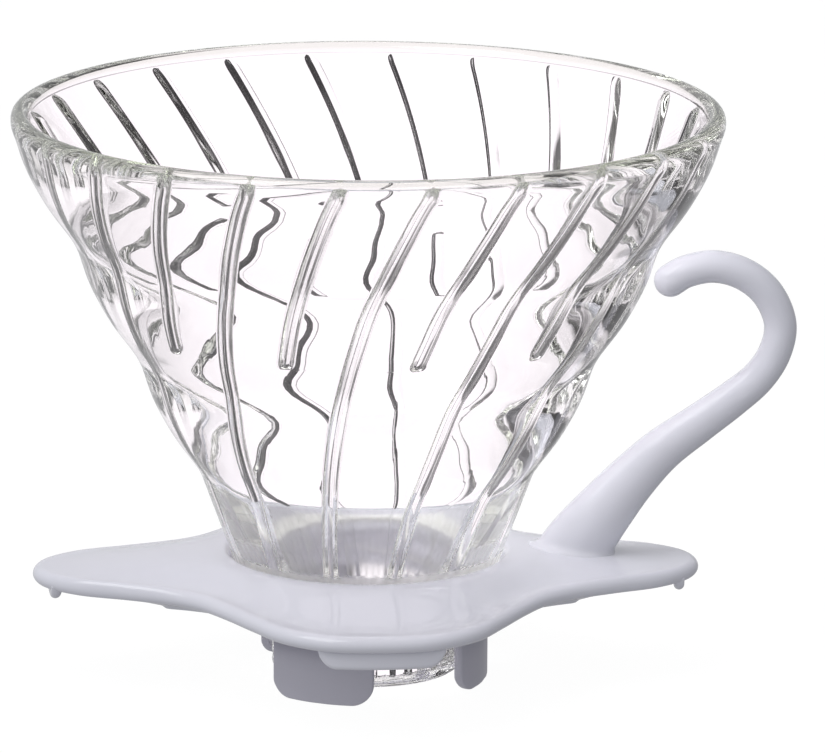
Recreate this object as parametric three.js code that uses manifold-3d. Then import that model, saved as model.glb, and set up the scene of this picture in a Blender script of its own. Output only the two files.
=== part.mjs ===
// Pour-over coffee dripper: a ribbed glass cone that stands in a white moulded holder with a curled handle.
// A threaded lock ring under the holder's plate pulls the glass down onto a thin sealing washer, and its
// three finger tabs keep the dripper centred on a cup.
// Millimetres, +Z up. z = 0 is the bottom of the finger tabs, and the handle points along +X.

import * as THREE from "three";
import { mergeVertices } from "three/addons/utils/BufferGeometryUtils.js";
import Module from "manifold-3d";

const wasm = await Module();
wasm.setup();

const TURN = 2 * Math.PI;
const radians = THREE.MathUtils.degToRad;
const { smoothstep } = THREE.MathUtils;

// ---- Driving dimensions ----

const HEIGHT = 97.9;               // tab bottoms to the top of the glass rim
const AXIS_X = -6.4;               // the cone's axis, so that x = 0 is midway between rim and handle
const GAP = 0.3;                   // clearance between neighbouring pieces

// Glass cone. Depths are measured down from the top of the rim.
const RIM_RADIUS = 59.5;
const RIM_BEAD = 1.6;              // half the thickness of the rounded rim
const TIER = 20;                   // height of one bulging tier
const TIER_CREST = 12;             // depth of the first tier's fullest point
const WALL_START = 61.58;          // outer radius of the plain cone, carried up to depth 0
const WALL_SLOPE = 0.5275;
const TIER_SWELL = 0.63;
const TIER_SHARPEN = 0.10;         // second wave, which narrows the grooves between tiers
const NECK_TOP = 62;
const NECK_SLOPE = 0.365;
const SHOULDER = 78.9;             // depth of the flat underside that rests on the washer
const NECK_RADIUS = 17.3;
const OUTLET_RADIUS = 16;
const OUTLET_DEPTH = 96;
const NECK_LOW = 8;                // height where the neck ends
const COLLAR_TOP = 7;              // height where the outlet collar starts
const INNER_START = 57.4;          // inner radius carried up to depth 0
const INNER_SLOPE = 0.51;
const OUTLET_HOLE = 9;

// Spiral ribs inside the glass.
const RIB_PAIRS = 12;              // one long and one short rib in each pair
const FIRST_RIB = 6.83;            // degrees from the handle to the first long rib, at the rim
const RIB_WIDTH = 2.0;
const RIB_HEIGHT = 1.3;
const RIB_TOP = 2.2;
const SHORT_RIB_END = 34.5;
const TWIST_PER_MM = 0.50;         // degrees of turn for each millimetre down
const TWIST_EASE = 0.0017;         // the turn slackens with the square of the depth

// Three-start thread between the glass neck and the lock ring.
const STARTS = 3;
const LEAD = 12;
const RIDGE_THICK = 1.5;
const CREST_RADIUS = 18.5;         // outside of the glass ridges
const ROOT_RADIUS = 17.6;          // inside of the lock ring's ridges
const GLASS_RIDGE_LOW = 10.0;      // height of a glass ridge's lower end
const GLASS_RIDGE_SPAN = 100;
const RING_RIDGE_START = -30;      // degrees from the glass ridge's lower end
const RING_RIDGE_SPAN = 90;

// Holder.
const BORE_TOP = 23.6;
const BORE_SEAT = 22.5;
const SEAT_HOLE = 18.9;
const HUB_TOP = 22.2;
const SEAT_TOP = 17.0;
const RING_RECESS = 15.6;          // height of the recess that the lock ring bears on
const RECESS_RADIUS = 22.6;
const LAND = 15.2;                 // height of the flat land that rests on a cup
const LAND_OUTER = 36.5;
const LAND_MARGIN = 4.5;           // the land stops at least this far inside the plate's edge
const LAND_STEP = 0.6;
const EDGE_TOP = 18.3;             // front and back lobes; the side lobes are higher by LOBE_RISE
const EDGE_LOW = 15.4;
const EDGE_ROUND = 1.6;            // how far in the plate's rolled edge reaches
const LOBE_RISE = 1.45;
const LOBE_OUTLINE = [             // one quarter of the plate's edge, from the handle side to the front
  [56.4, 0], [55.2, 4.6], [50.2, 9.3], [42, 12.7], [34.5, 16], [29.3, 19.6],
  [25.4, 24.4], [21, 31], [16.4, 37.4], [9.3, 41.9], [0, 43],
];

// Locating ridges under the lobes: inner radius, length, and the heights they run between.
const LOCATOR_THICK = 1.8;
const SIDE_LOCATOR = { reach: 52, length: 13.6, low: 15.0, top: 18 };
const FRONT_LOCATOR = { reach: 39.6, length: 21, low: 12.3, top: 17 };

// Handle centreline in its own upright plane: distance from the axis, height, width in the plane.
const HANDLE_LINE = [
  [33.6, 18.2, 12.6], [36.2, 22.6, 11.6], [40.9, 28.7, 9.9], [44.9, 33.4, 8.6], [49.8, 38.3, 7.5],
  [56.2, 43.0, 6.7], [61.9, 47.2, 6.2], [66.1, 50.8, 5.8], [68.8, 55.0, 5.6], [69.7, 60.0, 5.5],
  [67.4, 65.4, 5.5], [63.2, 68.8, 5.5], [58.2, 70.1, 5.5], [53.4, 69.2, 5.5], [51.0, 67.8, 5.6],
];
const HANDLE_THICK = 5.6;          // across the plane at the curl
const HANDLE_FOOT_THICK = 9;
const HANDLE_FOOT_SHARE = 0.55;    // share of the handle's length over which the foot thins

// Washer and lock ring.
const WASHER_LOW = SEAT_TOP + GAP;
const WASHER_TOP = HEIGHT - SHOULDER - GAP;
const RING_TOP = RING_RECESS - GAP;
const RING_LOW = 9.9;
const RING_INNER = 19.0;
const RING_OUTER = 21.6;
const TAB_OUTER = 20.6;
const TAB_INNER = 18.9;
const TAB_CORNER = 4;
const TAB_SPAN = 54;
const TAB_CENTRES = [-116.8, -16.3, 121.2];

// ---- Shared helpers ----

// Reverses a geometry's faces when its signed volume says that they point inwards.
function facingOut(geometry) {
  const p = geometry.attributes.position.array;
  const index = geometry.index.array;
  const corners = [new THREE.Vector3(), new THREE.Vector3(), new THREE.Vector3()];
  let volume = 0;
  for (let i = 0; i < index.length; i += 3) {
    corners.forEach((corner, k) => corner.fromArray(p, 3 * index[i + k]));
    volume += corners[0].dot(corners[1].cross(corners[2]));
  }
  if (volume < 0) {
    for (let i = 0; i < index.length; i += 3) {
      [index[i + 1], index[i + 2]] = [index[i + 2], index[i + 1]];
    }
  }
  return geometry;
}

// A closed skin over a list of equal loops of points. A closed run joins its last loop to its first, and an
// open run gets a flat fan at each end.
function skin(loops, closed) {
  const count = loops[0].length;
  const last = (loops.length - 1) * count;
  const index = [];
  for (let i = 0; i < loops.length - (closed ? 0 : 1); i += 1) {
    const here = i * count;
    const there = ((i + 1) % loops.length) * count;
    for (let j = 0; j < count; j += 1) {
      const next = (j + 1) % count;
      index.push(here + j, here + next, there + next, here + j, there + next, there + j);
    }
  }
  for (let j = 1; !closed && j < count - 1; j += 1) {
    index.push(0, j + 1, j, last, last + j, last + j + 1);
  }
  const geometry = new THREE.BufferGeometry();
  const coordinates = loops.flat().flatMap((point) => point.toArray());
  geometry.setAttribute("position", new THREE.Float32BufferAttribute(coordinates, 3));
  geometry.setIndex(index);
  return facingOut(geometry);
}

// A point at a radius, an angle in degrees and a height.
function around(radius, degrees, height) {
  const angle = radians(degrees);
  return new THREE.Vector3(radius * Math.cos(angle), radius * Math.sin(angle), height);
}

// A ring of revolution from a closed profile of [radius, height] points.
function turned(profile, segments) {
  const points = [...profile, profile[0]].map(([radius, height]) => new THREE.Vector2(radius, height));
  const geometry = new THREE.LatheGeometry(points, segments);
  geometry.rotateX(Math.PI / 2);
  geometry.deleteAttribute("normal");
  geometry.deleteAttribute("uv");
  return facingOut(mergeVertices(geometry, 1e-4));
}

function toSolid(geometry) {
  const vertProperties = new Float32Array(geometry.attributes.position.array);
  const triVerts = new Uint32Array(geometry.index.array);
  return new wasm.Manifold(new wasm.Mesh({ numProp: 3, vertProperties, triVerts }));
}

// One geometry from several that overlap.
function joined(geometries) {
  const solid = geometries.map(toSolid).reduce((whole, next) => whole.add(next));
  const mesh = solid.getMesh();
  const geometry = new THREE.BufferGeometry();
  geometry.setAttribute("position", new THREE.BufferAttribute(new Float32Array(mesh.vertProperties), 3));
  geometry.setIndex(new THREE.BufferAttribute(new Uint32Array(mesh.triVerts), 1));
  return geometry;
}

// A ridge that climbs by LEAD in each turn, with a trapezoid section from its root to its crest.
function helicalRidge(rootRadius, crestRadius, startDegrees, spanDegrees, startHeight) {
  const steps = Math.round(spanDegrees / 8);
  const loops = [];
  for (let i = 0; i <= steps; i += 1) {
    const turn = (spanDegrees * i) / steps;
    const height = startHeight + (LEAD * turn) / 360;
    const degrees = startDegrees + turn;
    const root = RIDGE_THICK / 2;
    const crest = RIDGE_THICK / 3;
    loops.push([
      around(rootRadius, degrees, height - root),
      around(crestRadius, degrees, height - crest),
      around(crestRadius, degrees, height + crest),
      around(rootRadius, degrees, height + root),
    ]);
  }
  return skin(loops, false);
}

// ---- Glass cone ----

// Outer radius at a depth: a plain cone with a soft wave for each tier, then a straight tapering neck.
function wallRadius(depth) {
  if (depth > NECK_TOP) {
    return wallRadius(NECK_TOP) - NECK_SLOPE * (depth - NECK_TOP);
  }
  const wave = (TURN * (depth - TIER_CREST)) / TIER;
  const swell = TIER_SWELL * Math.cos(wave) - TIER_SHARPEN * Math.cos(2 * wave);
  return WALL_START - WALL_SLOPE * depth + swell;
}

function innerRadius(depth) {
  return Math.max(OUTLET_HOLE, INNER_START - INNER_SLOPE * depth);
}

// Degrees that a rib has turned at a depth, clockwise seen from above.
function twist(depth) {
  const down = Math.max(0, depth - RIB_TOP);
  return -TWIST_PER_MM * down + TWIST_EASE * down * down;
}

// Height of a rib above the inner wall: it rises just under the rim and dies out at its lower end.
function ribHeight(depth, isLong) {
  const end = isLong ? OUTLET_DEPTH : SHORT_RIB_END;
  const rise = smoothstep(depth, RIB_TOP, RIB_TOP + 2);
  const fall = 1 - smoothstep(depth, end - 2, end);
  return RIB_HEIGHT * rise * fall;
}

// The wall's section as a closed loop of {radius, depth, inside}: down the outside and up the inside.
function wallSection() {
  const section = [];
  const rimCentre = RIM_RADIUS - RIM_BEAD;
  for (let i = 0; i <= 4; i += 1) {
    const angle = Math.PI * (1 - i / 4);
    const radius = rimCentre + RIM_BEAD * Math.cos(angle);
    section.push({ radius, depth: RIM_BEAD * (1 - Math.sin(angle)), inside: i === 0 });
  }
  for (let depth = 6; depth < NECK_TOP; depth += 4.75) {
    section.push({ radius: wallRadius(depth), depth, inside: false });
  }
  section.push({ radius: wallRadius(NECK_TOP + 2), depth: NECK_TOP + 2, inside: false });
  section.push({ radius: wallRadius(SHOULDER), depth: SHOULDER, inside: false });
  section.push({ radius: NECK_RADIUS, depth: SHOULDER, inside: false });
  section.push({ radius: NECK_RADIUS, depth: HEIGHT - NECK_LOW, inside: false });
  section.push({ radius: OUTLET_RADIUS, depth: HEIGHT - COLLAR_TOP, inside: false });
  section.push({ radius: OUTLET_RADIUS, depth: OUTLET_DEPTH, inside: false });
  const innerStops = [
    OUTLET_DEPTH, OUTLET_DEPTH - 2, 78, 64, 50, SHORT_RIB_END, SHORT_RIB_END - 2, 18, RIB_TOP + 2,
  ];
  innerStops.forEach(
    (depth) => section.push({ radius: innerRadius(depth), depth, inside: true }),
  );
  return section;
}

// Each rib pitch has five columns: both feet of the rib, both shoulders of its top, and the bare wall.
function glassCone() {
  const section = wallSection();
  const pitch = 360 / (2 * RIB_PAIRS);
  const loops = [];
  for (let rib = 0; rib < 2 * RIB_PAIRS; rib += 1) {
    const isLong = rib % 2 === 0;
    [[-0.5, 0], [-0.22, 1], [0.22, 1], [0.5, 0], [null, 0]].forEach(([offset, top]) => {
      loops.push(section.map(({ radius, depth, inside }) => {
        const reach = innerRadius(depth);
        const across = offset === null ? pitch / 2 : ((offset * RIB_WIDTH) / reach) * (360 / TURN);
        const raised = inside ? top * ribHeight(depth, isLong) : 0;
        const degrees = FIRST_RIB + rib * pitch + across + twist(depth);
        return around(radius - raised, degrees, HEIGHT - depth);
      }));
    });
  }
  const ridges = Array.from({ length: STARTS }, (_, start) => helicalRidge(
    NECK_RADIUS - 1, CREST_RADIUS, (360 / STARTS) * start, GLASS_RIDGE_SPAN, GLASS_RIDGE_LOW,
  ));
  return joined([skin(loops, true), ...ridges]);
}

// ---- Holder ----

// The plate's edge as a closed curve: the quarter outline mirrored about both axes.
function plateEdge() {
  const half = [...LOBE_OUTLINE, ...LOBE_OUTLINE.slice(0, -1).reverse().map(([x, y]) => [-x, y])];
  const whole = [...half, ...half.slice(1, -1).reverse().map(([x, y]) => [x, -y])];
  const points = whole.map(([x, y]) => new THREE.Vector3(x, y, 0));
  return new THREE.CatmullRomCurve3(points, true, "centripetal");
}

// Height added at an angle: the side lobes stand higher than the front and back ones.
function lobeRise(degrees) {
  return LOBE_RISE * Math.cos(radians(degrees)) ** 2;
}

// The plate's section at one point of its edge, as a closed loop from the bore to the edge and back.
function plateSection(edgePoint) {
  const reach = Math.hypot(edgePoint.x, edgePoint.y);
  const degrees = THREE.MathUtils.radToDeg(Math.atan2(edgePoint.y, edgePoint.x));
  const rise = lobeRise(degrees);
  const low = EDGE_LOW + rise;
  const top = EDGE_TOP + rise;
  const landEnd = Math.min(reach - LAND_MARGIN, LAND_OUTER);
  const topStart = reach - EDGE_ROUND - 0.2;
  const topEnd = BORE_TOP + 1.2;
  const profile = [
    [SEAT_HOLE, SEAT_TOP], [SEAT_HOLE, RING_RECESS], [RECESS_RADIUS, RING_RECESS],
    [RECESS_RADIUS + 0.4, LAND], [landEnd, LAND], [landEnd + LAND_STEP, LAND + LAND_STEP],
    [reach - EDGE_ROUND, low], [reach - 0.45, low + 0.45], [reach, low + 1.4], [reach - 0.5, top - 0.5],
    [topStart, top],
  ];
  // The top falls from the hub to the edge along a smooth step, flat at the hub and steepest at the edge.
  [0.2, 0.4, 0.6, 0.8].forEach((along) => {
    const swell = 1 - (1 - along) ** 2 * (1 + 2 * along);
    profile.push([topStart + (topEnd - topStart) * along, top + (HUB_TOP - top) * swell]);
  });
  profile.push([BORE_TOP + 1, HUB_TOP], [BORE_TOP, HUB_TOP - 0.8], [BORE_SEAT, HEIGHT - SHOULDER]);
  profile.push([BORE_SEAT, SEAT_TOP]);
  return profile.map(([radius, height]) => around(radius, degrees, height));
}

// Sections across the handle: superellipses square to the centreline, with a ball end.
function handle() {
  const centres = HANDLE_LINE.map(([x, z]) => new THREE.Vector3(x, 0, z));
  const line = new THREE.CatmullRomCurve3(centres, false, "centripetal");
  const sizes = HANDLE_LINE.map(([, , width], i) => new THREE.Vector3(width, i, 0));
  const widths = new THREE.CatmullRomCurve3(sizes);
  const steps = 26;
  const sides = 12;
  const side = new THREE.Vector3(0, 1, 0);
  const section = (centre, tangent, width, thick) => Array.from({ length: sides }, (_, j) => {
    const angle = (TURN * j) / sides;
    const normal = new THREE.Vector3().crossVectors(side, tangent).normalize();
    return centre.clone()
      .addScaledVector(normal, (width / 2) * Math.cos(angle))
      .addScaledVector(side, (thick / 2) * Math.sin(angle));
  });
  const loops = [];
  for (let i = 0; i <= steps; i += 1) {
    const t = i / steps;
    const thinning = smoothstep(t, 0, HANDLE_FOOT_SHARE);
    const thick = HANDLE_FOOT_THICK + (HANDLE_THICK - HANDLE_FOOT_THICK) * thinning;
    loops.push(section(line.getPoint(t), line.getTangent(t), widths.getPoint(t).x, thick));
  }
  const tip = line.getPoint(1);
  const ahead = line.getTangent(1);
  [30, 55, 78].forEach((degrees) => {
    const along = (HANDLE_THICK / 2) * Math.sin(radians(degrees));
    const size = HANDLE_THICK * Math.cos(radians(degrees));
    loops.push(section(tip.clone().addScaledVector(ahead, along), ahead, size, size));
  });
  return skin(loops, false);
}

// A locating ridge under one lobe: a short arc with a rectangular section.
function locatingRidge(centreDegrees, { reach, length, low: lowHeight, top: topHeight }) {
  const halfSpan = (length / 2 / reach) * (360 / TURN);
  const loops = [-1, -0.93, -0.5, 0, 0.5, 0.93, 1].map((share) => {
    const degrees = centreDegrees + share * halfSpan;
    const low = Math.abs(share) === 1 ? lowHeight + LOCATOR_THICK / 2 : lowHeight;
    return [
      around(reach, degrees, low), around(reach + LOCATOR_THICK, degrees, low),
      around(reach + LOCATOR_THICK, degrees, topHeight), around(reach, degrees, topHeight),
    ];
  });
  return skin(loops, false);
}

function holder() {
  const plate = skin(plateEdge().getSpacedPoints(80).slice(0, -1).map(plateSection), true);
  const ridges = [
    locatingRidge(0, SIDE_LOCATOR), locatingRidge(180, SIDE_LOCATOR),
    locatingRidge(90, FRONT_LOCATOR), locatingRidge(-90, FRONT_LOCATOR),
  ];
  return joined([plate, handle(), ...ridges]);
}

// ---- Washer and lock ring ----

function sealRing() {
  return turned([
    [SEAT_HOLE + 0.1, WASHER_LOW], [BORE_SEAT - GAP, WASHER_LOW],
    [BORE_SEAT - GAP, WASHER_TOP], [SEAT_HOLE + 0.1, WASHER_TOP],
  ], 48);
}

// A finger tab: a curved plate whose lower corners are quarter circles.
function fingerTab(centreDegrees) {
  const length = (radians(TAB_SPAN) * TAB_OUTER) / 2;
  const loops = [];
  const stops = [0, 0.3, 1.2, 2.5, 4, 7, length];
  const across = [...stops, ...stops.slice(0, -1).reverse().map((stop) => 2 * length - stop)];
  across.forEach((along) => {
    const fromSide = Math.min(along, 2 * length - along, TAB_CORNER);
    const low = TAB_CORNER - Math.sqrt(TAB_CORNER ** 2 - (TAB_CORNER - fromSide) ** 2);
    const degrees = centreDegrees + TAB_SPAN * (along / (2 * length) - 0.5);
    loops.push([
      around(TAB_INNER, degrees, low), around(TAB_OUTER, degrees, low),
      around(TAB_OUTER, degrees, RING_LOW + 0.5), around(TAB_INNER, degrees, RING_LOW + 0.5),
    ]);
  });
  return skin(loops, false);
}

function lockRing() {
  const collar = turned([
    [RING_INNER, RING_LOW], [RING_OUTER - 0.6, RING_LOW], [RING_OUTER, RING_LOW + 0.6],
    [RING_OUTER, RING_TOP], [RING_INNER, RING_TOP],
  ], 60);
  // The ring's ridges lie just above the glass ridges, and press them down as the ring is tightened.
  const low = GLASS_RIDGE_LOW + RIDGE_THICK + GAP + (LEAD * RING_RIDGE_START) / 360;
  const ridges = Array.from({ length: STARTS }, (_, start) => helicalRidge(
    RING_INNER + 0.8, ROOT_RADIUS, (360 / STARTS) * start + RING_RIDGE_START, RING_RIDGE_SPAN, low,
  ));
  return joined([collar, ...TAB_CENTRES.map(fingerTab), ...ridges]);
}

// ---- Materials and assembly ----

const heatproofGlass = new THREE.MeshStandardMaterial({
  color: 0xe9f1ea, roughness: 0.02, metalness: 0, transparent: true, opacity: 0.35,
});
const whitePolypropylene = new THREE.MeshStandardMaterial({ color: 0xe3e5ea, roughness: 0.22, metalness: 0 });
const whiteRingPlastic = new THREE.MeshStandardMaterial({ color: 0xdcdde3, roughness: 0.3, metalness: 0 });
const clearSilicone = new THREE.MeshStandardMaterial({ color: 0xe8e8e4, roughness: 0.6, metalness: 0 });

const group = new THREE.Group();
group.position.x = AXIS_X;

[
  ["glass_cone", glassCone(), heatproofGlass],
  ["holder", holder(), whitePolypropylene],
  ["seal_ring", sealRing(), clearSilicone],
  ["lock_ring", lockRing(), whiteRingPlastic],
].forEach(([name, geometry, material]) => {
  const mesh = new THREE.Mesh(geometry, material);
  mesh.name = name;
  group.add(mesh);
});

export default group;
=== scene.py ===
"""Pour-over dripper: a pressed glass cone in a white moulded holder, with its washer and lock ring."""

import bpy
import numpy as np
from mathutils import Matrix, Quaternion, Vector


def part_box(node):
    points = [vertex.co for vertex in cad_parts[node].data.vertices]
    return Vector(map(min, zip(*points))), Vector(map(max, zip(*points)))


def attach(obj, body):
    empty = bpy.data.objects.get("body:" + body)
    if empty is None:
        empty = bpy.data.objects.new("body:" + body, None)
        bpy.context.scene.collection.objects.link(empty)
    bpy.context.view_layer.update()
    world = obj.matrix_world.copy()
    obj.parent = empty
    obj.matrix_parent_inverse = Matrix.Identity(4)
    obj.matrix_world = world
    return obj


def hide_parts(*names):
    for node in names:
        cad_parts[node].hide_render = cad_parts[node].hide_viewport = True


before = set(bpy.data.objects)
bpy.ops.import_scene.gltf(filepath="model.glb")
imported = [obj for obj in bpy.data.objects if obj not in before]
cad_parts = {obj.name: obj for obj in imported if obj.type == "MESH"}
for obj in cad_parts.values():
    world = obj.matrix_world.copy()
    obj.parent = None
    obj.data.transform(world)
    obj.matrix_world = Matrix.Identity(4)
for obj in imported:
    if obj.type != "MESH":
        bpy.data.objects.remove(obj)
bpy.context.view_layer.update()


# ---- Holder ----
# One injection moulding in white polypropylene: a four-lobed plate that dips from its hub to a rolled edge, a
# handle that leans out and curls back, and a locating ridge under each lobe that keeps it centred on a cup.

MM = 0.001
glass_low, glass_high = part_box("glass_cone")
AXIS = (glass_low + glass_high) / 2

# Sizes in this file are in mm: heights above the finger tabs' feet, and radii from the cone's axis.
BORE_TOP = 23.6
BORE_SEAT = 22.5
SHOULDER_HEIGHT = 19.0
SEAT_HOLE = 18.9
SEAT_TOP = 17.0
HUB_TOP = 22.2
LIP_ROUND = 1.1
RING_RECESS = 15.6
RECESS_RADIUS = 22.6
LAND = 15.2
LAND_OUTER = 36.5
LAND_MARGIN = 4.5
LAND_STEP = 0.6
EDGE_TOP = 18.3
EDGE_LOW = 15.4
EDGE_ROUND_TOP = (1.8, 1.5)
EDGE_ROUND_LOW = (1.6, 1.4)
LOBE_RISE = 1.45
LOBE_OUTLINE = [
    (56.4, 0), (55.2, 4.6), (50.2, 9.3), (42, 12.7), (34.5, 16), (29.3, 19.6),
    (25.4, 24.4), (21, 31), (16.4, 37.4), (9.3, 41.9), (0, 43),
]
PLATE_COLUMNS = 300

# Handle centreline in its upright plane: distance from the axis, height, and width in that plane.
HANDLE_LINE = [
    (33.6, 18.2, 12.6), (36.2, 22.6, 11.6), (40.9, 28.7, 9.9), (44.9, 33.4, 8.6), (49.8, 38.3, 7.5),
    (56.2, 43.0, 6.7), (61.9, 47.2, 6.2), (66.1, 50.8, 5.8), (68.8, 55.0, 5.6), (69.7, 60.0, 5.5),
    (67.4, 65.4, 5.5), (63.2, 68.8, 5.5), (58.2, 70.1, 5.5), (53.4, 69.2, 5.5), (51.0, 67.8, 5.6),
]
HANDLE_THICK = 5.6
HANDLE_FOOT_THICK = 9.0
HANDLE_FOOT_SHARE = 0.55
HANDLE_FILLET = 1.1

# Locating ridges: inner radius, length, lowest height, and the height where they run into the plate.
RIDGE_THICK = 1.8
RIDGE_END_ROUND = 3.2
SIDE_RIDGE = (52.0, 13.6, 15.0, 17.6)
FRONT_RIDGE = (39.6, 21.0, 12.3, 16.4)

# How far apart the changes of colour and of gloss lie on the moulded plastics.
DRIFT_ACROSS = 28
GLOSS_ACROSS = 5


def smooth_curve(points, count, closed=False):
    """Even points on a centripetal Catmull-Rom curve: cubics whose end slopes come from their neighbours,
    over knots spaced by the square root of the distance between points."""
    points = np.asarray(points, dtype=float)
    if closed:
        padded = np.concatenate([points[-1:], points, points[:2]])
    else:
        padded = np.concatenate([2 * points[:1] - points[1:2], points, 2 * points[-1:] - points[-2:-1]])
    before, start, end, after = padded[:-3], padded[1:-2], padded[2:-1], padded[3:]
    gap0 = np.sqrt(np.linalg.norm(start - before, axis=1))[:, None]
    gap1 = np.sqrt(np.linalg.norm(end - start, axis=1))[:, None]
    gap2 = np.sqrt(np.linalg.norm(after - end, axis=1))[:, None]
    leave = (start - before) / gap0 - (end - before) / (gap0 + gap1) + (end - start) / gap1
    arrive = (end - start) / gap1 - (after - start) / (gap1 + gap2) + (after - end) / gap2
    leave = (leave * gap1)[:, None]
    arrive = (arrive * gap1)[:, None]
    t = np.linspace(0, 1, 60, endpoint=False)[None, :, None]
    spans = (2 * t**3 - 3 * t**2 + 1) * start[:, None] + (3 * t**2 - 2 * t**3) * end[:, None]
    spans = spans + (t**3 - 2 * t**2 + t) * leave + (t**3 - t**2) * arrive
    line = np.concatenate([spans.reshape(-1, points.shape[1]), end[-1:]])
    run = np.concatenate([[0], np.cumsum(np.linalg.norm(np.diff(line, axis=0), axis=1))])
    stops = np.linspace(0, run[-1], count, endpoint=not closed)
    return np.stack([np.interp(stops, run, column) for column in line.T], -1)


def softened(corners, steps=6):
    """Loops of radius and height with soft corners. Each corner is a radius, a height and a cut: it is cut
    back by that much along both sides, and a parabola tangent to both bridges the cut. A cut of 0 keeps the
    point."""
    place = np.stack(np.broadcast_arrays(*[value for corner in corners for value in corner[:2]]), -1)
    place = place.reshape(*place.shape[:-1], len(corners), 2)
    bridge = np.linspace(0, 1, steps)[:, None]
    loops = []
    for k, (_, _, cut) in enumerate(corners):
        here = place[..., k, :]
        if cut == 0:
            loops.append(here[..., None, :])
            continue
        back = place[..., k - 1, :] - here
        ahead = place[..., (k + 1) % len(corners), :] - here
        back_length = np.linalg.norm(back, axis=-1, keepdims=True)
        ahead_length = np.linalg.norm(ahead, axis=-1, keepdims=True)
        size = np.minimum(cut, 0.48 * np.minimum(back_length, ahead_length))
        first = (here + back / back_length * size)[..., None, :]
        last = (here + ahead / ahead_length * size)[..., None, :]
        middle = here[..., None, :]
        loops.append((1 - bridge) ** 2 * first + 2 * bridge * (1 - bridge) * middle + bridge**2 * last)
    return np.concatenate(loops, axis=-2)


def turned(loops, angle):
    """Points of loops of radius and height, one loop for each angle round the axis."""
    radius, height = loops[..., 0], np.broadcast_to(loops[..., 1], loops[..., 0].shape)
    angle = np.asarray(angle)[:, None]
    radius, height = np.broadcast_arrays(radius, height + 0 * angle)
    return np.stack([radius * np.cos(angle), radius * np.sin(angle), height], -1)


def shell(points, capped=False):
    """Points and faces of a skin over rows of loops. The rows close on themselves like a tyre, or, when
    capped, end in two flat caps. The sign of the enclosed volume turns the faces outwards."""
    rows, count = points.shape[:2]
    row, column = np.meshgrid(np.arange(rows - int(capped)), np.arange(count), indexing="ij")
    here = row * count
    ahead = (row + 1) % rows * count
    beside = (column + 1) % count
    quads = np.stack([here + column, here + beside, ahead + beside, ahead + column], -1).reshape(-1, 4)
    flat = points.reshape(-1, 3)
    corner = (flat - flat.mean(axis=0))[quads]
    volume = np.einsum("ij,ij->", corner[:, 0], np.cross(corner[:, 1], corner[:, 2]))
    volume += np.einsum("ij,ij->", corner[:, 0], np.cross(corner[:, 2], corner[:, 3]))
    faces = quads.tolist()
    if capped:
        faces += [list(range(count))[::-1], list(range((rows - 1) * count, rows * count))]
    if volume < 0:
        faces = [face[::-1] for face in faces]
    return flat, faces


def new_piece(name, shells, material):
    """A smooth mesh object made of shells, whose points are in mm from the cone's axis."""
    points, faces, start = [], [], 0
    for flat, shell_faces in shells:
        points.append(flat * MM + np.array([AXIS.x, AXIS.y, 0]))
        faces += [[start + k for k in face] for face in shell_faces]
        start += len(flat)
    mesh = bpy.data.meshes.new(name)
    mesh.from_pydata(np.concatenate(points).tolist(), [], faces)
    mesh.polygons.foreach_set("use_smooth", np.ones(len(faces), dtype=bool))
    mesh.materials.append(material)
    piece = bpy.data.objects.new(name, mesh)
    bpy.context.scene.collection.objects.link(piece)
    return piece


half_outline = LOBE_OUTLINE + [(-x, y) for x, y in LOBE_OUTLINE[-2::-1]]
plate_outline = half_outline + [(x, -y) for x, y in half_outline[-2:0:-1]]
plate_edge = smooth_curve(plate_outline, PLATE_COLUMNS, closed=True)
plate_angle = np.arctan2(plate_edge[:, 1], plate_edge[:, 0])
plate_reach = np.linalg.norm(plate_edge, axis=1)


def edge_rise(angle):
    """Extra height of the edge: a squared cosine lifts the side lobes above the front and back ones."""
    return LOBE_RISE * np.cos(angle) ** 2


def plate_top(radius, angle, reach):
    """Height of the plate's top: a smooth step in radius from the edge up to the hub."""
    start = reach - EDGE_ROUND_TOP[0]
    share = np.clip((radius - start) / (BORE_TOP + LIP_ROUND - start), 0, 1)
    edge = EDGE_TOP + edge_rise(angle)
    return edge + (HUB_TOP - edge) * share**2 * (3 - 2 * share)


def plate_loops():
    """The plate's section at each point of its outline: seat, recess, land and underside, two quarter
    ellipses round the edge, the top, and down the bore."""
    rise = edge_rise(plate_angle)
    land_end = np.minimum(plate_reach - LAND_MARGIN, LAND_OUTER)
    top_start = plate_reach - EDGE_ROUND_TOP[0]
    corners = [
        (SEAT_HOLE, SEAT_TOP, 0.3), (SEAT_HOLE, RING_RECESS, 0.3), (RECESS_RADIUS, RING_RECESS, 0.2),
        (RECESS_RADIUS + 0.4, LAND, 0.3), (land_end, LAND, 0.4),
        (land_end + LAND_STEP, LAND + LAND_STEP, 0.5),
    ]
    for turn in np.linspace(-np.pi / 2, 0, 9):
        radius = plate_reach - EDGE_ROUND_LOW[0] * (1 - np.cos(turn))
        corners.append((radius, EDGE_LOW + rise + EDGE_ROUND_LOW[1] * (1 + np.sin(turn)), 0))
    for turn in np.linspace(0, np.pi / 2, 10)[1:]:
        radius = plate_reach - EDGE_ROUND_TOP[0] * (1 - np.cos(turn))
        corners.append((radius, EDGE_TOP + rise - EDGE_ROUND_TOP[1] * (1 - np.sin(turn)), 0))
    for share in np.linspace(0, 1, 30)[1:-1]:
        radius = top_start + (BORE_TOP + LIP_ROUND - top_start) * share
        corners.append((radius, plate_top(radius, plate_angle, plate_reach), 0))
    corners += [
        (BORE_TOP, HUB_TOP, LIP_ROUND), (BORE_SEAT, SHOULDER_HEIGHT, 0.6), (BORE_SEAT, SEAT_TOP, 0.3),
    ]
    return softened(corners)


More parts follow.
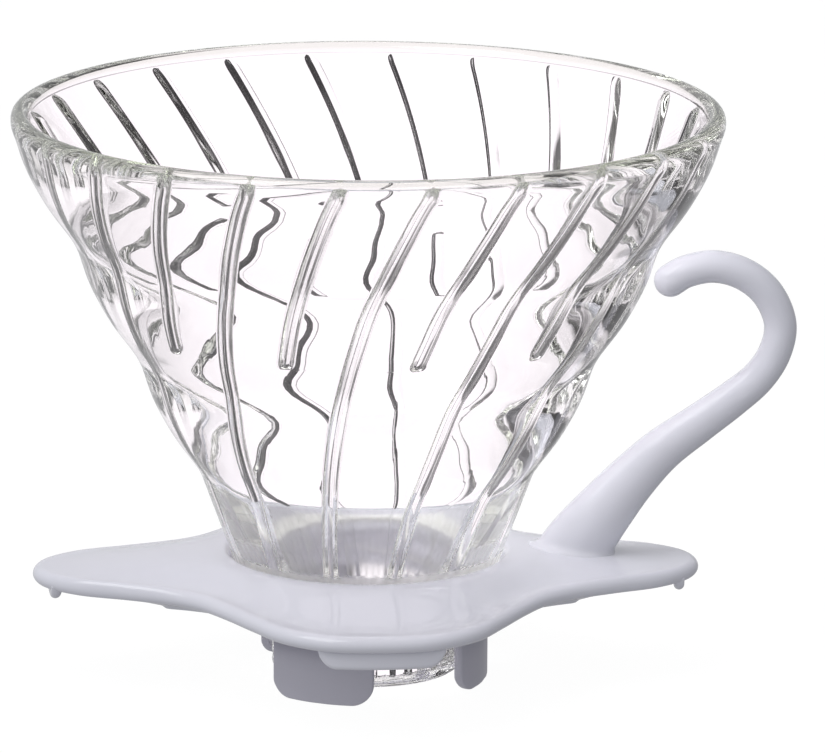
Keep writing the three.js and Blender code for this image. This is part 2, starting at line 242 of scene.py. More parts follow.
def smoothstep(value, low, high):
    """0 below low, 1 above high, and 3t squared minus 2t cubed between them."""
    t = np.clip((value - low) / (high - low), 0, 1)
    return t * t * (3 - 2 * t)


def handle_rows():
    """Ellipses square to the handle's centreline, then shrinking ellipses for its ball end. A fillet spreads
    the foot: near the plate a point moves out by the gap between a quarter circle and its tangent."""
    line = smooth_curve(HANDLE_LINE, 170)
    along = np.linspace(0, 1, len(line))
    thinning = smoothstep(along, 0, HANDLE_FOOT_SHARE)
    thick = HANDLE_FOOT_THICK + (HANDLE_THICK - HANDLE_FOOT_THICK) * thinning
    tangent = np.gradient(line[:, :2], axis=0)
    tangent /= np.linalg.norm(tangent, axis=1, keepdims=True)
    ball = np.linspace(0, 0.49 * np.pi, 14)[1:]
    tip = line[-1, :2] + tangent[-1] * (HANDLE_THICK / 2 * np.sin(ball))[:, None]
    centre = np.concatenate([line[:, :2], tip])
    tangent = np.concatenate([tangent, np.repeat(tangent[-1:], len(ball), axis=0)])
    wide = np.concatenate([line[:, 2], line[-1, 2] * np.cos(ball)]) / 2
    deep = np.concatenate([thick, HANDLE_THICK * np.cos(ball)]) / 2
    turn = np.linspace(0, 2 * np.pi, 48, endpoint=False)
    across = wide[:, None] * np.cos(turn)
    out_x = -tangent[:, 1:] * across
    out_z = tangent[:, :1] * across
    out_y = deep[:, None] * np.sin(turn)
    offset = np.stack([out_x, out_y, out_z], -1)
    middle = np.stack([centre[:, 0], 0 * centre[:, 0], centre[:, 1]], -1)[:, None]
    place = middle + offset
    angle = np.arctan2(place[..., 1], place[..., 0])
    reach = np.interp(angle, np.sort(plate_angle), plate_reach[np.argsort(plate_angle)])
    above = place[..., 2] - plate_top(np.hypot(place[..., 0], place[..., 1]), angle, reach)
    close = np.clip(HANDLE_FILLET - above, 0, HANDLE_FILLET)
    spread = HANDLE_FILLET - np.sqrt(HANDLE_FILLET**2 - close**2)
    return place + offset / np.linalg.norm(offset, axis=-1, keepdims=True) * spread[..., None]


def ridge_rows(centre_angle, reach, length, low, top):
    """A short curved ridge: its section is a U with a half-round foot, and its foot rises at both ends along
    a quarter circle."""
    along = np.linspace(-1, 1, 41) * length / 2
    into_end = np.clip((np.abs(along) - length / 2 + RIDGE_END_ROUND) / RIDGE_END_ROUND, 0, 0.999)
    foot = low + (top - low) * (1 - np.sqrt(1 - into_end**2))
    half = RIDGE_THICK / 2
    turn = np.linspace(-np.pi, 0, 13)
    radius = np.concatenate([reach + half + half * np.cos(turn), [reach + 2 * half, reach]])
    height = foot[:, None] + np.minimum(half, top - foot)[:, None] * (1 + np.sin(turn))
    height = np.concatenate([height, np.full((len(along), 2), top + 0.2)], axis=1)
    loops = np.stack(np.broadcast_arrays(radius, height), -1)
    return turned(loops, centre_angle + along / reach)


def srgb(code):
    """Linear colour with alpha 1 from a six-digit sRGB hex code."""
    value = np.array([int(code[k:k + 2], 16) for k in (0, 2, 4)]) / 255
    linear = np.where(value <= 0.04045, value / 12.92, ((value + 0.055) / 1.055) ** 2.4)
    return (*linear.tolist(), 1.0)


def add_node(tree, kind, links=None, **settings):
    """A node of one kind. A setting is one of its properties, or an input by name or by _number. Links give
    the sockets that feed its inputs."""
    node = tree.nodes.new(kind)
    for name, value in settings.items():
        if hasattr(node, name):
            setattr(node, name, value)
        else:
            key = int(name[1:]) if name[1:].isdigit() else name.replace("_", " ")
            node.inputs[key].default_value = value
    for name, socket in (links or {}).items():
        tree.links.new(socket, node.inputs[name])
    return node


def new_material(name):
    """A material with only its output node."""
    material = bpy.data.materials.new(name)
    material.use_nodes = True
    material.node_tree.nodes.clear()
    return material, material.node_tree, material.node_tree.nodes.new("ShaderNodeOutputMaterial")


def moulded_plastic(name, light_code, deep_code, smooth, rough, grain_mm, grain_height_mm):
    """An opaque white thermoplastic. Its colour drifts slightly over tens of millimetres, as pigment does in
    a moulding, and the mould's own finish gives a fine grain and small changes of gloss."""
    material, tree, output = new_material(name)
    place = add_node(tree, "ShaderNodeTexCoord").outputs["Object"]
    drift = add_node(tree, "ShaderNodeTexNoise", {"Vector": place}, Scale=1 / (DRIFT_ACROSS * MM), Detail=2.0)
    colour = add_node(
        tree, "ShaderNodeMix", {0: drift.outputs[0]}, data_type="RGBA",
        _6=srgb(light_code), _7=srgb(deep_code),
    )
    gloss = add_node(tree, "ShaderNodeTexNoise", {"Vector": place}, Scale=1 / (GLOSS_ACROSS * MM), Detail=3.0)
    roughness = add_node(tree, "ShaderNodeMapRange", {0: gloss.outputs[0]}, _3=smooth, _4=rough)
    grain = add_node(tree, "ShaderNodeTexNoise", {"Vector": place}, Scale=1 / (grain_mm * MM), Detail=2.0)
    bump = add_node(
        tree, "ShaderNodeBump", {"Height": grain.outputs[0]}, Distance=grain_height_mm * MM, Strength=1.0,
    )
    surface = add_node(
        tree, "ShaderNodeBsdfPrincipled",
        {"Base Color": colour.outputs[2], "Roughness": roughness.outputs[0], "Normal": bump.outputs[0]},
        IOR=1.49,
    )
    tree.links.new(surface.outputs[0], output.inputs["Surface"])
    return material


# Polypropylene from a polished mould: glossy enough to mirror the glass, with a faint orange peel.
glossy_polypropylene = moulded_plastic(
    "white_polypropylene_polished_mould", "d3d3db", "cfd0d9", smooth=0.05, rough=0.09,
    grain_mm=1.6, grain_height_mm=0.0018,
)
holder = new_piece("holder_moulding", [
    shell(turned(plate_loops(), plate_angle)),
    shell(handle_rows(), capped=True),
    shell(ridge_rows(0, *SIDE_RIDGE), capped=True),
    shell(ridge_rows(np.pi, *SIDE_RIDGE), capped=True),
    shell(ridge_rows(np.pi / 2, *FRONT_RIDGE), capped=True),
    shell(ridge_rows(-np.pi / 2, *FRONT_RIDGE), capped=True),
], glossy_polypropylene)
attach(holder, "holder")
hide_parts("holder")


# ---- Sealing washer ----
# A thin clear silicone washer, die-cut with slightly rolled edges. It lies loose on the holder's seat, and
# the glass's shoulder presses on it.

WASHER_INNER = 19.0
WASHER_OUTER = 22.2
WASHER_LOW = 17.3
WASHER_TOP = 18.7
WASHER_ROUND = 0.35
ROUND_COLUMNS = 192
full_turn = np.linspace(0, 2 * np.pi, ROUND_COLUMNS, endpoint=False)


def clear_silicone():
    """Translucent cured silicone: a milky, rubbery surface with a soft gloss."""
    material, tree, output = new_material("clear_silicone_die_cut")
    place = add_node(tree, "ShaderNodeTexCoord").outputs["Object"]
    cloud = add_node(tree, "ShaderNodeTexNoise", {"Vector": place}, Scale=1 / (2 * MM), Detail=3.0)
    roughness = add_node(tree, "ShaderNodeMapRange", {0: cloud.outputs[0]}, _3=0.3, _4=0.5)
    bump = add_node(tree, "ShaderNodeBump", {"Height": cloud.outputs[0]}, Distance=0.01 * MM, Strength=1.0)
    surface = add_node(
        tree, "ShaderNodeBsdfPrincipled", {"Roughness": roughness.outputs[0], "Normal": bump.outputs[0]},
        Base_Color=srgb("eeeeea"), IOR=1.41,
    )
    surface.inputs["Transmission Weight"].default_value = 0.35
    tree.links.new(surface.outputs[0], output.inputs["Surface"])
    return material


washer_section = softened([
    (WASHER_INNER, WASHER_LOW, WASHER_ROUND), (WASHER_OUTER, WASHER_LOW, WASHER_ROUND),
    (WASHER_OUTER, WASHER_TOP, WASHER_ROUND), (WASHER_INNER, WASHER_TOP, WASHER_ROUND),
])
washer = new_piece("silicone_washer", [shell(turned(washer_section, full_turn))], clear_silicone())
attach(washer, "holder")
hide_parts("seal_ring")


# ---- Glass cone ----
# One pressing of clear heat-proof glass: three bulging tiers under a fire-polished rim, 24 spiral ribs inside
# that hold the paper off the wall, a neck with a three-start thread, and a fluted outlet collar.

TOP = glass_high.z / MM
GLASS_BOTTOM = TOP - glass_low.z / MM

# Depths are in mm below the top of the rim.
RIM_RADIUS = (glass_high.x - glass_low.x) / 2 / MM
RIM_BEAD = 1.6
RIM_BLEND = 0.12
WALL_START = 61.58
WALL_SLOPE = 0.5275
TIER = 20.0
TIER_CREST = 12.0
TIER_SWELL = 0.63
TIER_SHARPEN = 0.10
NECK_TOP = 62.0
NECK_SLOPE = 0.365
SHOULDER = TOP - SHOULDER_HEIGHT
SHOULDER_ROUND = 0.6
NECK_RADIUS = 17.3
NECK_END = 89.9
OUTLET_RADIUS = 16.0
COLLAR_TOP = 90.6
FOOT_ROUND = 0.75
OUTLET_HOLE = 9.0
LIP_EDGE = 0.8
INNER_START = 57.4
INNER_SLOPE = 0.51
FLUTES = 36
FLUTE_DEPTH = 0.45
RIBS = 24
RIB_PITCH = 2 * np.pi / RIBS
FIRST_RIB = np.radians(6.83)
RIB_WIDTH = 2.3
RIB_HEIGHT = 1.45
RIB_ROUNDNESS = 2.0
RIB_TOP = 1.9
RIB_RUN_IN = 1.7
RIB_END_ROUND = 1.1
RIB_END_WIDTH = 0.4
TWIST_PER_MM = np.radians(0.50)
TWIST_EASE = np.radians(0.0017)
SHORT_RIB_END = 34.5
LONG_RIB_END = 91.5
RIB_COLUMNS = 9
BARE_COLUMNS = 6
THREAD_STARTS = 3
THREAD_LEAD = 12.0
THREAD_THICK = 1.5
THREAD_CREST = 18.5
THREAD_LOW = 10.0
THREAD_SPAN = np.radians(100)
THREAD_FADE = 0.1
THREAD_CREST_SHARE = 0.45

# The glass's finish: heights in mm above the tabs' feet, and depths in mm below the rim's top.
RIPPLE_ACROSS = 11
RIPPLE_HEIGHT = 0.05
NECK_FLUTES = 72
NECK_FLUTE_HEIGHT = 0.05
FROST_TOP = (23.4, 22.6)
FROST_FOOT = (9, 10)
FROST = 0.45
RIM_TINT_DEPTH = (1.5, 0.7)


def wall_radius(depth):
    """Outer radius: a cone plus one soft cosine for each tier, a half-period cosine that narrows the grooves,
    and a straight neck. A smooth minimum keeps it inside the rim's radius."""
    wave = 2 * np.pi * (np.minimum(depth, NECK_TOP) - TIER_CREST) / TIER
    cone = WALL_START - WALL_SLOPE * np.minimum(depth, NECK_TOP)
    radius = cone + TIER_SWELL * np.cos(wave) - TIER_SHARPEN * np.cos(2 * wave)
    radius = radius - NECK_SLOPE * np.maximum(depth - NECK_TOP, 0)
    return -RIM_BLEND * np.logaddexp(-radius / RIM_BLEND, -RIM_RADIUS / RIM_BLEND)


def inner_radius(depth):
    """Inner radius: a plain cone down to the outlet hole."""
    return np.maximum(INNER_START - INNER_SLOPE * depth, OUTLET_HOLE)


def rib_twist(depth):
    """Turn of the ribs in radians, clockwise from above: it grows with depth and slackens with its square."""
    down = np.maximum(depth - RIB_TOP, 0)
    return TWIST_EASE * down**2 - TWIST_PER_MM * down


def round_end(distance, radius):
    """Share of the full height at a distance from a rounded end: a quarter circle, then 1."""
    inside = np.clip(distance / radius, 0, 1)
    return np.sqrt(1 - (1 - inside) ** 2)


def glass_section():
    """Closed section of the wall as rows of depth, radius and an inside flag: over the rim, down the outside,
    round the shoulder, neck and collar, and up the inside."""
    turn = np.linspace(np.pi, 0, 15)
    rim_depth = RIM_BEAD * (1 - np.sin(turn))
    rim_radius = RIM_RADIUS - RIM_BEAD + RIM_BEAD * np.cos(turn)
    outer_depth = np.concatenate([np.arange(1.9, 6, 0.6), np.arange(6, SHOULDER - SHOULDER_ROUND, 1.1)])
    corner = np.linspace(0, np.pi / 2, 5)
    shoulder_radius = wall_radius(np.array(SHOULDER)) - SHOULDER_ROUND
    shoulder_depth = SHOULDER - SHOULDER_ROUND + SHOULDER_ROUND * np.sin(corner)
    shoulder_radii = shoulder_radius + SHOULDER_ROUND * np.cos(corner)
    neck_depth = np.concatenate([SHOULDER + np.array([0, 0.15, 0.5]), np.arange(80, NECK_END - 0.3, 0.3)])
    neck_radii = NECK_RADIUS + np.array([0.5, 0.15] + [0] * (len(neck_depth) - 2))
    collar_depth = np.concatenate([[NECK_END, 90.3], np.arange(COLLAR_TOP, GLASS_BOTTOM - 1.6, 0.5)])
    collar_radii = np.full(len(collar_depth), OUTLET_RADIUS)
    collar_radii[:2] = [NECK_RADIUS - 0.5, OUTLET_RADIUS + 0.2]
    foot = np.linspace(-np.pi / 2, np.pi / 2, 9)
    foot_depth = GLASS_BOTTOM - FOOT_ROUND + FOOT_ROUND * np.sin(foot)
    foot_radii = OUTLET_RADIUS - FOOT_ROUND + FOOT_ROUND * np.cos(foot)
    lip = np.linspace(np.pi / 2, 0, 5)[:-1]
    lip_depth = np.concatenate([[GLASS_BOTTOM] * 2, GLASS_BOTTOM - LIP_EDGE + LIP_EDGE * np.sin(lip)])
    lip_radii = np.concatenate([[14.0, 12.0], OUTLET_HOLE + LIP_EDGE - LIP_EDGE * np.cos(lip)])
    # Rows lie close together where a rib starts or ends, and far apart where the wall is plain.
    fine_top = RIB_TOP + np.array([0, 0.1, 0.3, 0.6, 1.0, 1.5, 2.0, 2.5])
    fine_end = SHORT_RIB_END - np.array([1.6, 1.1, 0.75, 0.5, 0.3, 0.15, 0.06, 0, -0.15])
    long_end = LONG_RIB_END - np.array([2.5, 1.8, 1.2, 0.8, 0.5, 0.25, 0.1, 0])
    inner_depth = np.concatenate([
        [RIM_BEAD + 0.25], fine_top, np.arange(5, SHORT_RIB_END - 2.2, 1.6), fine_end,
        np.arange(36, LONG_RIB_END - 3, 1.9), long_end,
    ])[::-1]
    depth = np.concatenate([
        rim_depth, outer_depth, shoulder_depth, neck_depth, collar_depth, foot_depth, lip_depth, inner_depth,
    ])
    radius = np.concatenate([
        rim_radius, wall_radius(outer_depth), shoulder_radii, neck_radii, collar_radii, foot_radii, lip_radii,
        inner_radius(inner_depth),
    ])
    inside = np.arange(len(depth)) >= len(depth) - len(inner_depth)
    return depth, radius, inside


def thread_rise(angle, height, low, crest_height, span, start):
    """Height of a three-start thread above its root: a rounded ridge along each helix, which dies away at
    both ends of its span."""
    rise = np.zeros(np.broadcast(angle, height).shape)
    for ridge in range(THREAD_STARTS):
        along = (angle - start - ridge * 2 * np.pi / THREAD_STARTS) % (2 * np.pi)
        off = np.abs(height - low - THREAD_LEAD * along / (2 * np.pi)) / (THREAD_THICK / 2)
        ends = round_end(np.minimum(along, span - along), THREAD_FADE * span)
        ridge_rise = crest_height * ends * smoothstep(-off, -1.0, -THREAD_CREST_SHARE)
        rise = np.maximum(rise, np.where(along < span, ridge_rise, 0))
    return rise


def rib_fullness(depth, end, inside):
    """Share of a rib's full height along it: a quarter circle at its top, and another at its lower end."""
    return round_end(depth - RIB_TOP, RIB_RUN_IN) * round_end(end - depth, RIB_END_ROUND) * inside


def rib_span(fullness, depth, inside):
    """Angle that a rib covers: its width over the inner radius, and narrower towards its ends."""
    share = RIB_END_WIDTH + (1 - RIB_END_WIDTH) * np.where(inside, fullness, 1)
    return RIB_WIDTH * share / inner_radius(depth)


def glass_points():
    """The wall's section carried round the axis on columns that turn with the ribs: nine across each rib,
    closer at its feet, and six across the bare wall between two ribs. A rib's section is a parabola."""
    depth, radius, inside = glass_section()
    arc = np.linspace(0, np.pi, RIB_COLUMNS)
    rib_share = -0.5 * np.cos(arc)
    rib_rise = 1 - np.abs(2 * rib_share) ** RIB_ROUNDNESS
    bare_share = (1 - np.cos(np.linspace(0, np.pi, BARE_COLUMNS + 2)[1:-1])) / 2
    columns = []
    for rib in range(RIBS):
        end, next_end = (LONG_RIB_END, SHORT_RIB_END) if rib % 2 == 0 else (SHORT_RIB_END, LONG_RIB_END)
        fullness = rib_fullness(depth, end, inside)
        width = rib_span(fullness, depth, inside)
        next_width = rib_span(rib_fullness(depth, next_end, inside), depth, inside)
        middle = FIRST_RIB + rib * RIB_PITCH + rib_twist(depth)
        bare = RIB_PITCH - width / 2 - next_width / 2
        for share, rise in zip(rib_share, rib_rise):
            columns.append((middle + share * width, radius - RIB_HEIGHT * rise * fullness))
        for share in bare_share:
            columns.append((middle + width / 2 + share * bare, radius))
    angle = np.array([column[0] for column in columns])
    out = np.array([column[1] for column in columns])
    flute = (depth > COLLAR_TOP) & (depth < GLASS_BOTTOM - 1.4) & ~inside
    out = out - np.where(flute, FLUTE_DEPTH * (1 + np.cos(FLUTES * angle)) / 2, 0)
    neck = (depth > SHOULDER + 0.4) & (depth < NECK_END) & ~inside
    thread = thread_rise(angle, TOP - depth, THREAD_LOW, THREAD_CREST - NECK_RADIUS, THREAD_SPAN, 0)
    out = out + np.where(neck, thread, 0)
    height = np.broadcast_to(TOP - depth, out.shape)
    return np.stack([out * np.cos(angle), out * np.sin(angle), height], -1)


def pressed_heatproof_glass():
    """Clear heat-proof glass, pressed and fire-polished: no colour through the wall, a faint green where
    light runs along it or round the rim, and the slow ripple that a plunger leaves in cooling glass. The neck
    has fine upright flutes, a cosine of the angle round the axis, and a frosted skin that makes it an even
    pale grey."""
    material, tree, output = new_material("pressed_heatproof_glass")
    place = add_node(tree, "ShaderNodeTexCoord").outputs["Object"]
    ripple = add_node(
        tree, "ShaderNodeTexNoise", {"Vector": place}, Scale=1 / (RIPPLE_ACROSS * MM), Detail=1.0,
    )
    rippled = add_node(
        tree, "ShaderNodeBump", {"Height": ripple.outputs[0]}, Distance=RIPPLE_HEIGHT * MM, Strength=1.0,
    )
    centred = add_node(tree, "ShaderNodeVectorMath", {0: place}, operation="SUBTRACT", _1=tuple(AXIS))
    across = add_node(tree, "ShaderNodeSeparateXYZ", {0: centred.outputs[0]})
    round_axis = add_node(
        tree, "ShaderNodeMath", {0: across.outputs[1], 1: across.outputs[0]}, operation="ARCTAN2",
    )
    phase = add_node(tree, "ShaderNodeMath", {0: round_axis.outputs[0]}, operation="MULTIPLY", _1=NECK_FLUTES)
    flutes = add_node(tree, "ShaderNodeMath", {0: phase.outputs[0]}, operation="COSINE")
    height = add_node(tree, "ShaderNodeSeparateXYZ", {0: place}).outputs[2]
    under_hub = add_node(
        tree, "ShaderNodeMapRange", {0: height},
        _1=FROST_TOP[0] * MM, _2=FROST_TOP[1] * MM, _3=0.0, _4=1.0,
    )
    neck = add_node(
        tree, "ShaderNodeMapRange", {0: height, 4: under_hub.outputs[0]},
        _1=FROST_FOOT[0] * MM, _2=FROST_FOOT[1] * MM, _3=0.0,
    )
    fluted_neck = add_node(
        tree, "ShaderNodeMath", {0: flutes.outputs[0], 1: neck.outputs[0]}, operation="MULTIPLY",
    )
    bump = add_node(
        tree, "ShaderNodeBump", {"Height": fluted_neck.outputs[0], "Normal": rippled.outputs[0]},
        Distance=NECK_FLUTE_HEIGHT * MM, Strength=1.0,
    )
    frost = add_node(tree, "ShaderNodeMath", {0: neck.outputs[0]}, operation="MULTIPLY", _1=FROST)
    rim = add_node(
        tree, "ShaderNodeMapRange", {0: height},
        _1=(TOP - RIM_TINT_DEPTH[0]) * MM, _2=(TOP - RIM_TINT_DEPTH[1]) * MM, _3=0.0, _4=1.0,
    )
    colour = add_node(
        tree, "ShaderNodeMix", {0: rim.outputs[0]}, data_type="RGBA", _6=srgb("ffffff"), _7=srgb("dcded4"),
    )
    surface = add_node(
        tree, "ShaderNodeBsdfPrincipled",
        {"Base Color": colour.outputs[2], "Roughness": frost.outputs[0], "Normal": bump.outputs[0]},
        IOR=1.47,
    )
    surface.inputs["Transmission Weight"].default_value = 1.0
    body = add_node(tree, "ShaderNodeVolumeAbsorption", Color=srgb("e4ebda"), Density=6.0)
    tree.links.new(surface.outputs[0], output.inputs["Surface"])
    tree.links.new(body.outputs[0], output.inputs["Volume"])
    return material


glass = new_piece("glass_cone_pressed", [shell(glass_points())], pressed_heatproof_glass())
# Clear glass throws no solid shadow, so the softbox and the surround light the bore through it.
glass.visible_shadow = False
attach(glass, "glass")
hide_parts("glass_cone")


# ---- Lock ring ----
# A second moulding, in a harder white plastic with a satin finish: a collar with a three-start thread inside,
# and three finger tabs that turn it and centre the dripper on a cup.

COLLAR_INNER = 19.0
COLLAR_OUTER = 21.6
COLLAR_LOW = 9.9
COLLAR_HIGH = 15.3
TAB_INNER = 18.9
TAB_OUTER = 20.6
TAB_CORNER = 4.0
TAB_SPAN = np.radians(54)
TAB_CENTRES = np.radians([-116.8, -16.3, 121.2])
TAB_EDGE = 0.55
RING_THREAD_CREST = 17.6
RING_THREAD_START = np.radians(-30)
RING_THREAD_SPAN = np.radians(90)
THREAD_PLAY = 0.3
COLLAR_COLUMNS = 240
TAB_SQUARENESS = 0.6


def collar_points():
    """The collar's section turned round the axis, with the thread raised on its inner wall. The ridges lie
    one ridge and its play above those of the glass."""
    angle = np.linspace(0, 2 * np.pi, COLLAR_COLUMNS, endpoint=False)
    wall = [(COLLAR_INNER, z, 0) for z in np.arange(COLLAR_HIGH - 0.5, COLLAR_LOW + 0.4, -0.2)]
    section = softened([
        (COLLAR_INNER, COLLAR_LOW, 0.35), (COLLAR_OUTER, COLLAR_LOW, 0.6),
        (COLLAR_OUTER, COLLAR_HIGH, 0.3), (COLLAR_INNER, COLLAR_HIGH, 0.35), *wall,
    ])
    points = turned(section, angle)
    inner = section[:, 0] < COLLAR_INNER + 0.01
    low = THREAD_LOW + THREAD_THICK + THREAD_PLAY + THREAD_LEAD * RING_THREAD_START / (2 * np.pi)
    rise = thread_rise(
        angle[:, None], section[None, :, 1], low, COLLAR_INNER - RING_THREAD_CREST, RING_THREAD_SPAN,
        RING_THREAD_START,
    ) * inner
    share = 1 - rise / np.hypot(points[..., 0], points[..., 1])
    points[..., :2] *= share[..., None]
    return points


def tab_rows(centre):
    """A curved slab whose lower corners are quarter circles. Its foot is a superellipse, and its thickness
    falls to nothing at both ends along a quarter circle, so that every edge is rolled."""
    half_length = TAB_SPAN * TAB_OUTER / 2
    far = np.concatenate([np.linspace(0, TAB_EDGE, 9), np.linspace(TAB_EDGE, TAB_CORNER, 20)[1:], [6, 8]])
    along = np.concatenate([far - half_length, (half_length - far)[::-1]])
    side = half_length - np.abs(along)
    low = TAB_CORNER - np.sqrt(TAB_CORNER**2 - np.clip(TAB_CORNER - side, 0, TAB_CORNER) ** 2)
    half = (TAB_OUTER - TAB_INNER) / 2 * round_end(np.maximum(side, 0.004), TAB_EDGE)
    middle = (TAB_OUTER + TAB_INNER) / 2
    foot = np.linspace(-np.pi, 0, 11)
    outer, inner = middle + half[:, None], middle - half[:, None]
    radius = middle + half[:, None] * np.sign(np.cos(foot)) * np.abs(np.cos(foot)) ** TAB_SQUARENESS
    height = low[:, None] + TAB_EDGE * (1 - np.abs(np.sin(foot)) ** TAB_SQUARENESS)
    high = np.full((len(along), 1), COLLAR_LOW + 0.5)
    middle_height = (high + low[:, None]) / 2
    radius = np.concatenate([radius, outer, outer, inner, inner], axis=1)
    height = np.concatenate([height, middle_height, high, high, middle_height], axis=1)
    return turned(np.stack([radius, height], -1), centre + along / TAB_OUTER)


# Satin ABS with the fine even grain of a spark-eroded mould. Its colour is a little greyer than the holder's
# as painted shade, for the shade that falls on the finger tabs.
satin_abs_painted_shade = moulded_plastic(
    "white_abs_spark_eroded_mould", "b8b6c1", "b3b2bd", smooth=0.26, rough=0.36,
    grain_mm=0.35, grain_height_mm=0.006,
)
ring = new_piece(
    "lock_ring_moulding",
    [shell(collar_points())] + [shell(tab_rows(centre), capped=True) for centre in TAB_CENTRES],
    satin_abs_painted_shade,
)
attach(ring, "lock_ring")
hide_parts("lock_ring")


# ---- Studio ----
# A lit white floor that only the camera sees, and only from above; one softbox high on the left; and a
# surround that each kind of ray sees differently: soft and leaning for matt and glossy surfaces, and white
# panels on dark felt through the glass, whose edges they draw.

floor_mesh = bpy.data.meshes.new("studio_floor")
floor_mesh.from_pydata([(-4, -4, 0), (4, -4, 0), (4, 4, 0), (-4, 4, 0)], [], [(0, 1, 2, 3)])
floor = bpy.data.objects.new("studio_floor", floor_mesh)
bpy.context.scene.collection.objects.link(floor)
floor_material, floor_tree, floor_output = new_material("matt_white_paper")
paper = add_node(floor_tree, "ShaderNodeBsdfDiffuse", Color=srgb("404040"))
glow = add_node(floor_tree, "ShaderNodeEmission", Strength=0.97)
backlit = add_node(floor_tree, "ShaderNodeAddShader", {0: paper.outputs[0], 1: glow.outputs[0]})
underside = add_node(floor_tree, "ShaderNodeNewGeometry").outputs["Backfacing"]
unseen = add_node(floor_tree, "ShaderNodeBsdfTransparent")
one_sided = add_node(
    floor_tree, "ShaderNodeMixShader", {0: underside, 1: backlit.outputs[0], 2: unseen.outputs[0]},
)
floor_tree.links.new(one_sided.outputs[0], floor_output.inputs["Surface"])
floor_mesh.materials.append(floor_material)
floor.visible_diffuse = False
floor.visible_glossy = False
floor.visible_transmission = False
floor.visible_shadow = False

# What shows through the glass. Headings turn clockwise from straight behind, in radians, and heights are
# sines of elevation.
SWEEP_CENTRE = np.radians(-10)
SWEEP_EDGE = np.radians([23, 25.5])
PANELS_START = np.radians([46, 50])
PANELS_ROUND = 8
PANEL_EDGE = (0.35, 0.6)
PANEL_BRIGHTNESS = 0.7
HORIZON = (-0.11, 0.0)
CEILING = (0.45, 0.7)
TABLE = (-0.85, -0.65)
FELT_SPAN = (-0.9, 0.3)
FELT_BRIGHTNESS = (0.18, 0.04)
WHITE_BRIGHTNESS = 1.18
INNER_BRIGHTNESS = 1.6

world = bpy.data.worlds.new("studio")
bpy.context.scene.world = world
world.use_nodes = True
sky = world.node_tree
sky.nodes.clear()
direction = add_node(sky, "ShaderNodeTexCoord").outputs["Generated"]
axes = add_node(sky, "ShaderNodeSeparateXYZ", {0: direction})
rightward, backward, upward = axes.outputs


def leaning_light(right, back, up):
    """Brightness that rises evenly as a direction leans right, back and up, round a middle of 0.5."""
    lean = add_node(
        sky, "ShaderNodeVectorMath", {0: direction}, operation="DOT_PRODUCT", _1=(right, back, up),
    )
    level = add_node(sky, "ShaderNodeMath", {0: lean.outputs["Value"]}, operation="ADD", _1=0.5)
    return add_node(sky, "ShaderNodeMath", {0: level.outputs[0]}, operation="MAXIMUM", _1=0.04).outputs[0]


def eased(socket, limits, start, end):
    """A value that eases from start to end as a socket goes from the lower limit to the upper one."""
    node = add_node(
        sky, "ShaderNodeMapRange", {0: socket}, interpolation_type="SMOOTHSTEP",
        _1=limits[0], _2=limits[1], _3=start, _4=end,
    )
    return node.outputs[0]


def brighter_of(first, second):
    """The greater of two brightnesses."""
    return add_node(sky, "ShaderNodeMath", {0: first, 1: second}, operation="MAXIMUM").outputs[0]


# A white sweep behind, narrow white panels beyond it at every eighth of a turn, dark felt between them that
# is greyer on the left, and white far overhead and far below.
heading = add_node(sky, "ShaderNodeMath", {0: rightward, 1: backward}, operation="ARCTAN2").outputs[0]
from_sweep = add_node(sky, "ShaderNodeMath", {0: heading}, operation="SUBTRACT", _1=SWEEP_CENTRE)
off_sweep = add_node(sky, "ShaderNodeMath", {0: from_sweep.outputs[0]}, operation="ABSOLUTE").outputs[0]
sweep = eased(off_sweep, SWEEP_EDGE, 1.0, 0.0)
panel_phase = add_node(sky, "ShaderNodeMath", {0: heading}, operation="MULTIPLY", _1=PANELS_ROUND)
panel_wave = add_node(sky, "ShaderNodeMath", {0: panel_phase.outputs[0]}, operation="COSINE")
stripes = eased(panel_wave.outputs[0], PANEL_EDGE, 0.0, 1.0)
beyond_sweep = eased(off_sweep, PANELS_START, 0.0, PANEL_BRIGHTNESS)
panels = add_node(sky, "ShaderNodeMath", {0: stripes, 1: beyond_sweep}, operation="MULTIPLY").outputs[0]
below_horizon = eased(upward, HORIZON, 1.0, 0.0)
lit = brighter_of(sweep, panels)
white = add_node(sky, "ShaderNodeMath", {0: lit, 1: below_horizon}, operation="MULTIPLY").outputs[0]
felt = eased(rightward, FELT_SPAN, *FELT_BRIGHTNESS)
ceiling = eased(upward, CEILING, 0.0, 1.0)
table = eased(upward, TABLE, 1.0, 0.0)
surround = brighter_of(brighter_of(white, felt), brighter_of(ceiling, table))
through_glass = add_node(sky, "ShaderNodeMath", {0: surround}, operation="MULTIPLY", _1=WHITE_BRIGHTNESS)

# Rays that left a matt surface and then crossed the glass get an even light, which fills the bore.
rays = add_node(sky, "ShaderNodeLightPath")
from_matt = add_node(
    sky, "ShaderNodeMath", {0: rays.outputs["Diffuse Depth"]}, operation="GREATER_THAN", _1=0.5,
)
crossing = add_node(
    sky, "ShaderNodeMix", {0: from_matt.outputs[0], 2: through_glass.outputs[0]}, _3=INNER_BRIGHTNESS,
)
mirrored = leaning_light(-0.35, 0.2, 0.25)
fill = leaning_light(-0.14, -0.22, 0.20)
outside = add_node(sky, "ShaderNodeMix", {0: rays.outputs["Is Glossy Ray"], 2: fill, 3: mirrored})
crossed = rays.outputs["Is Transmission Ray"]
reached = add_node(sky, "ShaderNodeMix", {0: crossed, 2: outside.outputs[0], 3: crossing.outputs[0]})
strength = add_node(sky, "ShaderNodeMix", {0: rays.outputs["Is Camera Ray"], 2: reached.outputs[0]}, _3=1.0)
cool_or_warm = add_node(
    sky, "ShaderNodeMix", {0: rays.outputs["Is Transmission Ray"]}, data_type="RGBA",
    _6=(0.97, 0.975, 1, 1), _7=(1, 0.94, 0.985, 1),
)
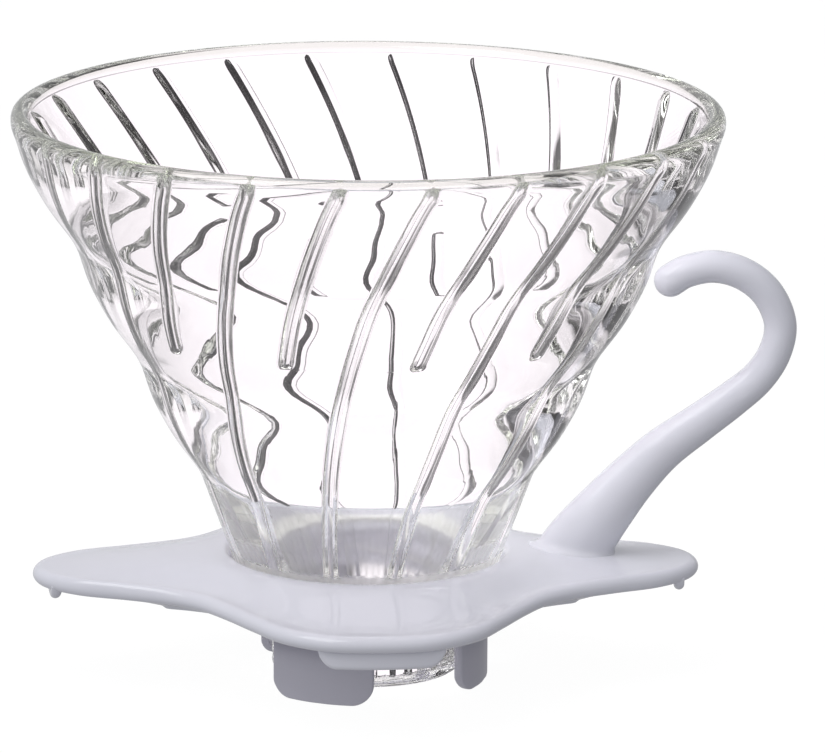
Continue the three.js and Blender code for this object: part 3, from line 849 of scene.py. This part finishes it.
tint = add_node(
    sky, "ShaderNodeMix", {0: rays.outputs["Is Camera Ray"], 6: cool_or_warm.outputs[2]}, data_type="RGBA",
    _7=(1, 1, 1, 1),
)
light = add_node(sky, "ShaderNodeBackground", {"Color": tint.outputs[2], "Strength": strength.outputs[0]})
add_node(sky, "ShaderNodeOutputWorld", {"Surface": light.outputs[0]})

SOFTBOX_SIDE = 0.36
SOFTBOX_PLACE = (-0.28, -0.20, 0.56)
SOFTBOX_AIM = (0, 0, 0.04)
softbox_data = bpy.data.lights.new("left_softbox", "AREA")
softbox_data.size = SOFTBOX_SIDE
softbox_data.energy = 1.3
softbox = bpy.data.objects.new("left_softbox", softbox_data)
softbox.location = SOFTBOX_PLACE
softbox.rotation_euler = (Vector(SOFTBOX_AIM) - softbox.location).to_track_quat("-Z", "Y").to_euler()
bpy.context.scene.collection.objects.link(softbox)


# ---- Camera ----
# A long lens, a little above the rim and turned slightly off the handle's own plane. It is aimed by turning
# it, so that the rim's centre falls at its place in the frame. Distances and heights are in mm.

CAMERA_FROM_AXIS = (-71.8, -1080.9)
CAMERA_HEIGHT = 318.7
LENS = 289.7
SENSOR = 36.0
RIM_IN_FRAME = (-0.0534, 0.3264)
ROLL = np.radians(-0.25)

camera_data = bpy.data.cameras.new("camera")
camera_data.lens = LENS
camera_data.sensor_width = SENSOR
camera = bpy.data.objects.new("camera", camera_data)
place = Vector((AXIS.x + CAMERA_FROM_AXIS[0] * MM, AXIS.y + CAMERA_FROM_AXIS[1] * MM, CAMERA_HEIGHT * MM))
towards = (Vector((AXIS.x, AXIS.y, glass_high.z)) - place).normalized()
off_axis = Vector((RIM_IN_FRAME[0], RIM_IN_FRAME[1], -LENS / SENSOR)).normalized()
aim = towards.to_track_quat("-Z", "Y") @ off_axis.rotation_difference(Vector((0, 0, -1)))
camera.rotation_mode = "QUATERNION"
camera.location = place
camera.rotation_quaternion = Quaternion(towards, ROLL) @ aim
bpy.context.scene.collection.objects.link(camera)
bpy.context.scene.camera = camera
bpy.context.scene.view_settings.view_transform = "Standard"

# Light runs a long way inside the wall of a pressed glass before it leaves, so paths are followed further.
bpy.context.scene.cycles.max_bounces = 32
bpy.context.scene.cycles.glossy_bounces = 24
bpy.context.scene.cycles.transmission_bounces = 32
